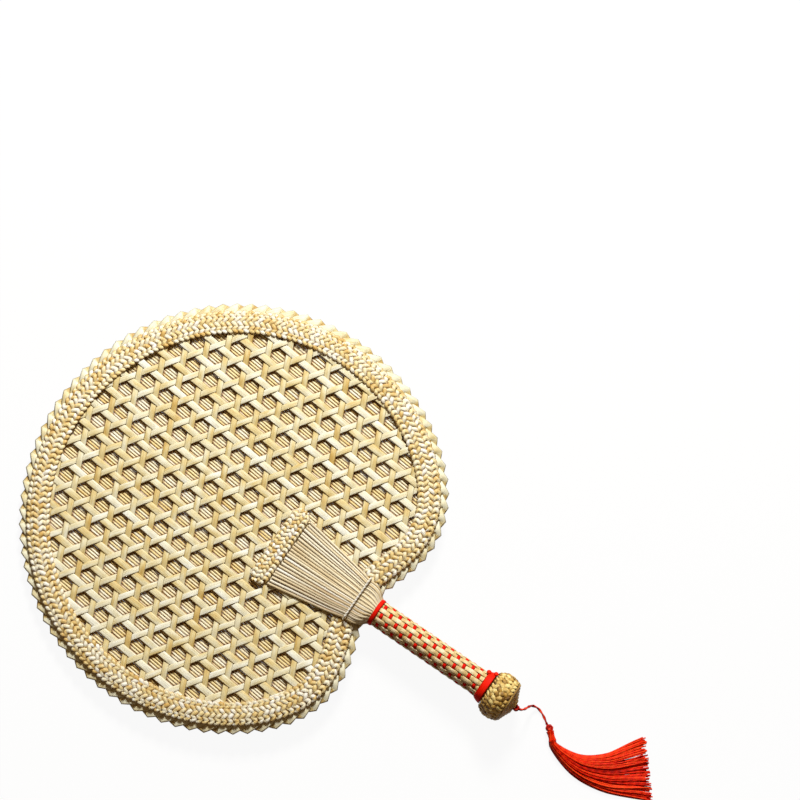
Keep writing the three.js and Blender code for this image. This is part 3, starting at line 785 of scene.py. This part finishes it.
# Flat plait of an odd number of strands, each over one strand and under the next.
# pointAt gives the place and the outward direction for a run along and across the plait.
def plaitStrands(plait, length, pointAt, closed):
    dice = Random(plait["seed"])
    count, swing = plait["strands"], plait["width"] - plait["section"][0]
    periods = length / (2 * swing)
    periods = round(periods) if closed else periods
    steps = round(periods * plaitRule["steps"] * count)
    corner, uneven = plaitRule["corner"], plaitRule["unevenness"]
    made = []
    for k in range(count):
        points, ups, scales, tones = [], [], [], []
        strandTone = dice.uniform(*plaitRule["tones"])
        for step in range(steps + (0 if closed else 1)):
            run = step / steps
            phase = run * periods + k / count
            if step % plaitRule["toneSteps"] == 0:
                tone = strandTone + dice.uniform(-1, 1) * plait["mottle"]
            tones.append(tone)
            across = swing / 2 * asin(corner * sin(fullTurn * phase)) / asin(corner)
            height = plaitHeight(2 * count * phase, count)
            point, up = pointAt(run * length, across)
            loose = dice.uniform(-1, 1) * plait["loose"]
            points.append(point + up * (plait["wave"] * height + loose))
            ups.append(up)
            scales.append(1 + plaitRule["swell"] * height + dice.uniform(-uneven, uneven))
        made.append(strand(points, ups, tones, scales, closed))
    return made


border = {
    "section": (2.75, 1.3, 8), "material": "borderStraw", "width": 16, "inset": 5, "strands": 7,
    "wave": 0.5, "middle": 3.2, "loose": 0.08, "mottle": 0.6, "innerDrop": 0.1, "outerDrop": 1.3,
    "seed": 11,
}


def borderPlait():
    middle = border["inset"] + border["width"] / 2
    length, angleAt = ringAngles(middle)

    def pointAt(run, across):
        share = across / (border["width"] / 2)
        drop = border["innerDrop" if share < 0 else "outerDrop"] * share ** 2
        point = insetPoint(angleAt(run), middle - across)
        return point + upward * (border["middle"] - drop), upward

    return sweep("frontBorder", plaitStrands(border, length, pointAt, True), border)


settleBoth(borderPlait(), "border_plait", "border_plait", "Border")
print("border plaits made")

edge = {
    "section": (5.8, 0.8, 8), "material": "edgeStrip", "teeth": 94, "swing": 6.9, "strands": 3,
    "wave": 0.7, "foldSteps": 24, "corner": 1.11, "firstTone": 0.2, "inwardTones": (0.5, 1.1),
    "outwardTones": (-0.3, 0.4), "seed": 21,
}


# One strand runs round three times as a three-strand plait; each outer fold is a tooth. Its
# sharp folds are widened so that their corners keep the strip's full width.
def edgePlait():
    dice = Random(edge["seed"])
    half = edge["foldSteps"] // 2
    tipInset = edge["section"][0] / 2 * edge["corner"]
    tone = edge["firstTone"]
    points, tones, scales = [], [], []
    for step in range(edge["teeth"] * edge["foldSteps"]):
        fold = step / edge["foldSteps"]
        outward = 1 - 4 * abs((fold + 0.25) % 1 - 0.5)
        angle = fullTurn * (fold * edge["strands"] - 0.25) / edge["teeth"]
        height = plaitHeight(2 * edge["strands"] * fold, edge["strands"])
        atFold = step % half == half // 2
        if atFold:
            tone = dice.uniform(*edge["inwardTones" if outward > 0 else "outwardTones"])
        tones.append(tone)
        points.append(insetPoint(angle, tipInset + edge["swing"] * (1 - outward) / 2)
                      + upward * edge["wave"] * height)
        scales.append(edge["corner"] if atFold else 1)
    return sweep("edgePlait", [strand(points, [upward] * len(points), tones, scales, True)], edge)


settle(edgePlait(), "fan", "edge_plait", "edge_plait")
print("edge plait made")

neck = {
    "section": (2.4, 2.208, 8), "material": "neckStraw", "straws": 23, "points": 40, "cutY": -43.0,
    "tieY": -96.5, "reach": 0.97, "sideways": 0.012, "sizes": (0.86, 1.08), "stagger": 0.4,
    "sink": 0.2, "cut": 0.4, "gatherLength": 40, "crown": 0.12, "taper": 0.12, "tones": (0.1, 0.95),
    "widest": 0.98, "lowest": 0.2, "tuck": 0.8, "seed": 31,
}
# Along the neck: Y, half width, lowest and highest Z, roundness of the bundle
neckStations = [
    (-43.0, 25.5, 2.9, 5.4, 6), (-64.0, 21.8, 2.9, 5.6, 6), (-84.0, 18.3, 3.4, 6.6, 6),
    (-90.0, 17.0, 4.9, 8.0, 5), (-96.5, 15.5, 4.9, 8.0, 4), (-101.5, 15.3, 4.9, 8.2, 3.4),
    (-105.5, 13.8, 3.6, 9.0, 2.6), (-108.2, 11.0, 1.2, 9.3, 2.2), (-110.6, 9.3, 0.2, 9.2, 2),
]


def neckStraws():
    dice = Random(neck["seed"])
    lines = [smoothLine([Vector(row[part] for part in order) for row in neckStations], neck["points"])
             for order in ((0, 1, 4), (0, 2, 3))]
    strands = []
    for k in range(neck["straws"]):
        share = (2 * k / (neck["straws"] - 1) - 1) * neck["reach"]
        shift = dice.uniform(-neck["sideways"], neck["sideways"])
        thick = dice.uniform(*neck["sizes"])
        under = (k % 2) * neck["stagger"] + dice.uniform(0, neck["sink"])
        cut = dice.uniform(-neck["cut"], neck["cut"])
        rest = neck["section"][0] / 2 * thick
        off = max(min(share + shift, neck["widest"]), -neck["widest"])
        points, ups, scales = [], [], []
        for (y, half, roundness), (_, bottom, top) in zip(*lines):
            shoulder = (1 - abs(off) ** roundness) ** (1 / roundness)
            gather = max(0, min(1, (neck["cutY"] - y) / neck["gatherLength"]))
            height = bottom + (top - bottom) * shoulder * (1 - neck["crown"] * off ** 2) - rest
            height = max(height - under * gather, bottom + neck["lowest"])
            x = off * (half - rest * neck["tuck"])
            points.append(Vector((x, y if points else y + cut, height)))
            ups.append(Vector((off * gather, 0, 1)).normalized())
            scales.append(thick * (1 - neck["taper"] * gather))
        strands.append(strand(points, ups, dice.uniform(*neck["tones"]), scales))
    return sweep("frontNeck", strands, neck)


settleBoth(neckStraws(), "neck_straw", "neck_straws", "Neck")

cover = {
    "section": (2.5, 1.35, 8), "material": "borderStraw", "width": 13.6, "length": 55.0, "strands": 7,
    "wave": 0.55, "middle": 4.6, "loose": 0.25, "mottle": 0.7, "gap": 0.3, "endLength": 5,
    "endWidth": 0.45, "drop": 0.9, "seed": 41,
}


def neckCover():
    def pointAt(run, across):
        x = run - cover["length"] / 2
        end = min(1, (cover["length"] / 2 - abs(x)) / cover["endLength"])
        draw = cover["endWidth"] + (1 - cover["endWidth"]) * sin(end * pi / 2)
        drop = cover["drop"] * (across / cover["width"] * 2) ** 2 + cover["drop"] * (1 - end)
        y = neck["cutY"] + cover["gap"] + cover["width"] / 2 + across * draw
        return Vector((x, y, cover["middle"] - drop)), upward

    return sweep("frontCover", plaitStrands(cover, cover["length"], pointAt, False), cover)


settleBoth(neckCover(), "border_plait", "neck_cover", "Cover")


tie = {
    "section": (1.2, 1.2, 10), "material": "whiteThread", "points": 50, "tone": 0.7,
    "outline": [(-15.9, 5.0), (-16.0, 6.4), (-15.5, 7.6), (-13.6, 8.5), (-8, 8.75), (0, 8.85),
                (8, 8.75), (13.6, 8.5), (15.5, 7.6), (16.0, 6.4), (15.9, 5.0)],
}


def tieThread():
    line = smoothLine([Vector((x, neck["tieY"], z)) for x, z in tie["outline"]], tie["points"])
    thread = strand(line, [Vector((0, 1, 0))] * tie["points"], tie["tone"])
    return sweep("frontTie", [thread], tie)


settleBoth(tieThread(), "white_thread", "tie_thread", "Tie")
print("neck made")

grip = {"topY": -110.0, "endY": -198.0, "flareLength": 9.0, "flare": 2.4}
stake = {
    "section": (3.4, 1.05, 8), "material": "gripStraw", "count": 15, "steps": 96, "startGap": 0.4,
    "radius": 8.0, "wave": 0.4, "tones": (-0.05, 0.45), "bulgeTone": 0.65, "seed": 51,
}
ribbon = {
    "section": (2.25, 0.5, 8), "material": "redRibbon", "startY": -114.15, "pitch": 5.65, "endGap": 1.4,
    "steps": 5, "radius": 7.95, "wave": 0.7, "flatness": 0.7, "tone": 0.6,
}
collar = {
    "section": (2.9, 0.9, 8), "material": "redRibbon", "width": 2.7, "radius": 9.0, "slope": 0,
    "wobble": 0.12, "tone": 0.6,
}
lower = {
    "section": (5.6, 0.9, 8), "material": "redRibbon", "width": 5.2, "radius": 10.2, "slope": 0.36,
    "wobble": 0, "tone": 0.7,
}
bandKnot = {
    "section": (3.4, 2.4, 10), "material": "redRibbon", "angle": 0.5, "radius": 11.0, "tone": 0.8,
    "lobes": (-2.6, 1.9), "runs": (-2, -1.2, 0, 1.2, 2), "scales": (0.35, 0.85, 1, 0.85, 0.35),
}


# The sleeve opens a little over the knob at its lower end
def flareAt(y):
    share = max(0, 1 - (y - grip["endY"]) / grip["flareLength"])
    return grip["flare"] * share ** 2


def around(angle, radius, y):
    return Vector((radius * cos(angle), y, radius * sin(angle)))


# Turns of the ribbon down to this height
def ribbonTurns(y):
    return (ribbon["startY"] - y) / ribbon["pitch"]


def gripStakes():
    dice = Random(stake["seed"])
    top = grip["topY"] + stake["startGap"]
    strands = []
    for k in range(stake["count"]):
        angle = fullTurn * k / stake["count"]
        stakeTone = dice.uniform(*stake["tones"])
        points, ups, tones = [], [], []
        for step in range(stake["steps"] + 1):
            y = top + (grip["endY"] - top) * step / stake["steps"]
            crossing = ribbonTurns(y) - k / stake["count"]
            lift = -cos(pi * crossing) * (-1) ** k
            radius = stake["radius"] + stake["wave"] * lift + flareAt(y)
            points.append(around(angle, radius, y))
            ups.append(around(angle, 1, 0))
            # Painted highlight: each stake is lighter where it bulges over the ribbon
            tones.append(stakeTone + stake["bulgeTone"] * max(0, lift) ** 2)
        strands.append(strand(points, ups, tones))
    return sweep("gripStakes", strands, stake)


def gripRibbon():
    room = ribbon["startY"] - (grip["endY"] + lower["width"] + ribbon["endGap"])
    points, ups = [], []
    for step in range(round(room / ribbon["pitch"] * stake["count"] * ribbon["steps"]) + 1):
        crossing = step / ribbon["steps"]
        angle = fullTurn * crossing / stake["count"]
        y = ribbon["startY"] - ribbon["pitch"] * crossing / stake["count"]
        lift = cos(pi * crossing)
        lift = copysign(abs(lift) ** ribbon["flatness"], lift)
        points.append(around(angle, ribbon["radius"] + ribbon["wave"] * lift + flareAt(y), y))
        ups.append(around(angle, 1, 0))
    return sweep("gripRibbon", [strand(points, ups, ribbon["tone"])], ribbon)


# One wrap of ribbon round the grip; a slope leans its face along the grip
def wrap(name, look, y, steps=64):
    points, ups = [], []
    for k in range(steps):
        angle = fullTurn * k / steps
        radius = look["radius"] + look["wobble"] * sin(3 * angle)
        points.append(around(angle, radius, y + look["wobble"] * sin(2 * angle)))
        ups.append((around(angle, 1, 0) + Vector((0, look["slope"], 0))).normalized())
    return sweep(name, [strand(points, ups, look["tone"], closed=True)], look)


stakeNodes = [f"grip_stake_{k + 1:02d}" for k in range(stake["count"])]
settle(gripStakes(), "fan", "grip_stake", *stakeNodes)
settle(gripRibbon(), "fan", "red_ribbon", "grip_ribbon")
collarBand = wrap("collarBand", collar, grip["topY"] - collar["width"] / 2)
settle(collarBand, "fan", "red_ribbon", "collar_band")


def lowerBand():
    y = grip["endY"] + lower["width"] / 2
    band = wrap("lowerBand", lower, y)
    angle = bandKnot["angle"]
    lobes = []
    for off in bandKnot["lobes"]:
        middle = around(angle, bandKnot["radius"] + lower["slope"] * off, y - off)
        points = [middle + around(angle + pi / 2, run, 0) for run in bandKnot["runs"]]
        ups = [around(angle, 1, 0)] * len(points)
        lobes.append(strand(points, ups, bandKnot["tone"], bandKnot["scales"]))
    return merged(band, sweep("bandKnot", lobes, bandKnot))


settle(lowerBand(), "fan", "red_ribbon", "lower_band")
print("grip made")

knob = {
    "section": (3.2, 1.5, 8), "material": "knobStraw", "topY": -198.3, "endY": -219.5, "width": 15.6,
    "topRadius": 12.3, "radius": 16.4, "rimRadius": 13.9, "holeRadius": 2.5, "dome": 0.75,
    "plaitRadius": 15.2, "plaitDepth": 1.65, "strands": 7, "wave": 0.4, "loose": 0.06, "mottle": 0.35,
    "seed": 61,
}
knobCore = {
    "section": (2.0, 2.0, 40), "material": "knobStraw", "top": (0.6, 9.0), "rings": 8, "depth": 2.9,
    "endRadii": (12, 9.5, 7, 4.5), "endDepth": 1.4, "tone": 0.1,
}
coils = {
    "section": (2.2, 1.8, 8), "material": "knobStraw", "turns": 5.3, "steps": 240, "startGap": 0.9,
    "endRadius": 3.4, "depth": 0.7, "lean": 0.55, "bumps": 9, "bump": 0.06, "tone": 0.4,
}


def knobSideRadius(share):
    end = knob["topRadius"] if share < 0.5 else knob["rimRadius"]
    return knob["radius"] - (knob["radius"] - end) * (2 * share - 1) ** 2


# Height of the knob's domed end at a distance from its axis
def knobEndY(radius):
    share = (radius - knob["holeRadius"]) / (knob["rimRadius"] - knob["holeRadius"])
    return knob["endY"] + (knob["topY"] - knob["width"] - knob["endY"]) * share ** knob["dome"]


def knobBody():
    above, topRadius = knobCore["top"]
    rims = [(knob["topY"] + above, topRadius)]
    for k in range(knobCore["rings"] + 1):
        share = k / knobCore["rings"]
        rims.append((knob["topY"] - knob["width"] * share, knobSideRadius(share) - knobCore["depth"]))
    rims += [(knobEndY(radius) + knobCore["endDepth"], radius) for radius in knobCore["endRadii"]]
    points = [Vector((0, y, 0)) for y, _ in rims]
    scales = [radius for _, radius in rims]
    core = strand(points, [upward] * len(points), knobCore["tone"], scales)
    return sweep("strawKnob", [core], knobCore)


def knobPlait():
    length = fullTurn * knob["plaitRadius"]

    def pointAt(run, across):
        share = 0.5 - across / knob["width"]
        angle = fullTurn * run / length
        radius = knobSideRadius(share) - knob["plaitDepth"]
        return around(angle, radius, knob["topY"] - knob["width"] * share), around(angle, 1, 0)

    return sweep("knobPlait", plaitStrands(knob, length, pointAt, True), knob)


def knobCoils():
    outer = knob["rimRadius"] - coils["startGap"]
    points, ups, scales = [], [], []
    for k in range(coils["steps"] + 1):
        share = k / coils["steps"]
        radius = outer - share * (outer - coils["endRadius"])
        angle = fullTurn * coils["turns"] * share
        points.append(around(angle, radius, knobEndY(radius) + coils["depth"]))
        ups.append((around(angle, coils["lean"], 0) + Vector((0, -1, 0))).normalized())
        scales.append(1 + coils["bump"] * sin(angle * coils["bumps"]))
    return sweep("knobCoils", [strand(points, ups, coils["tone"], scales)], coils)


settle(merged(knobBody(), knobPlait(), knobCoils()), "fan", "knob_straw", "knob")
print("knob made")

frame["nodes"]["grip_core"].material_slots[0].material = materials["gripStraw"]


stage = {
    "size": 6, "depth": 0.0002, "floorColour": (0.2, 0.2, 0.2, 1), "floorGlow": 0.7,
    "floorLight": 1.335, "white": (1, 1, 1, 1), "key": 41.5, "keyDistance": 1.4, "keySize": 0.4,
    "keyFrom": (0.2, 0.92, 0.76), "keyColour": (1.0, 0.985, 0.93),
    "ambient": 0.12, "ambientColour": (1.0, 0.62, 0.3, 1),
}


# One where the camera sees the surface, also through the kinds of ray named
def seenBy(graph, *kinds):
    rays = graph.node("ShaderNodeLightPath", None, "all")
    seen = rays["Is Camera Ray"]
    for kind in kinds:
        seen = seen.maths("MAXIMUM", rays[kind])
    return seen


def floorMaterial():
    material, graph = startMaterial("floor")
    seen = seenBy(graph, "Is Glossy Ray", "Is Transmission Ray") * stage["floorGlow"]
    matt = graph.node("ShaderNodeBsdfDiffuse", {"Color": stage["floorColour"]})
    white = graph.node("ShaderNodeEmission", {"Color": stage["white"], "Strength": stage["floorLight"]})
    mix = graph.node("ShaderNodeMixShader", [seen, matt, white])
    graph.node("ShaderNodeOutputMaterial", {"Surface": mix})
    return material


def layFloor():
    half = stage["size"] / 2
    mesh = bpy.data.meshes.new("floor")
    corners = [(x * half, y * half, -stage["depth"]) for x, y in ((-1, -1), (1, -1), (1, 1), (-1, 1))]
    mesh.from_pydata(corners, [], [(0, 1, 2, 3)])
    floor = added("floor", mesh)
    mesh.materials.append(floorMaterial())


def lightStudio():
    right = Vector((view["up"][1], -view["up"][0], 0))
    up = Vector((*view["up"], 0))
    x, y, z = stage["keyFrom"]
    data = bpy.data.lights.new("key", "AREA")
    data.energy = stage["key"]
    data.color = stage["keyColour"]
    data.size = stage["keySize"]
    lamp = added("key", data)
    place = (right * x + up * y + upward * z) * stage["keyDistance"]
    lamp.location = place
    lamp.rotation_euler = place.to_track_quat("Z", "Y").to_euler()
    world = bpy.data.worlds.new("studio")
    scene.world = world
    world.use_nodes = True
    world.node_tree.nodes.clear()
    graph = Graph(world.node_tree)
    soft = graph.node("ShaderNodeBackground", {
        "Color": stage["ambientColour"], "Strength": stage["ambient"],
    })
    white = graph.node("ShaderNodeBackground", {"Color": stage["white"], "Strength": 1.0})
    mix = graph.node("ShaderNodeMixShader", [seenBy(graph, "Is Transmission Ray"), soft, white])
    graph.node("ShaderNodeOutputWorld", {"Surface": mix})
    scene.view_settings.view_transform = "Standard"


layFloor()
lightStudio()
print("studio set")
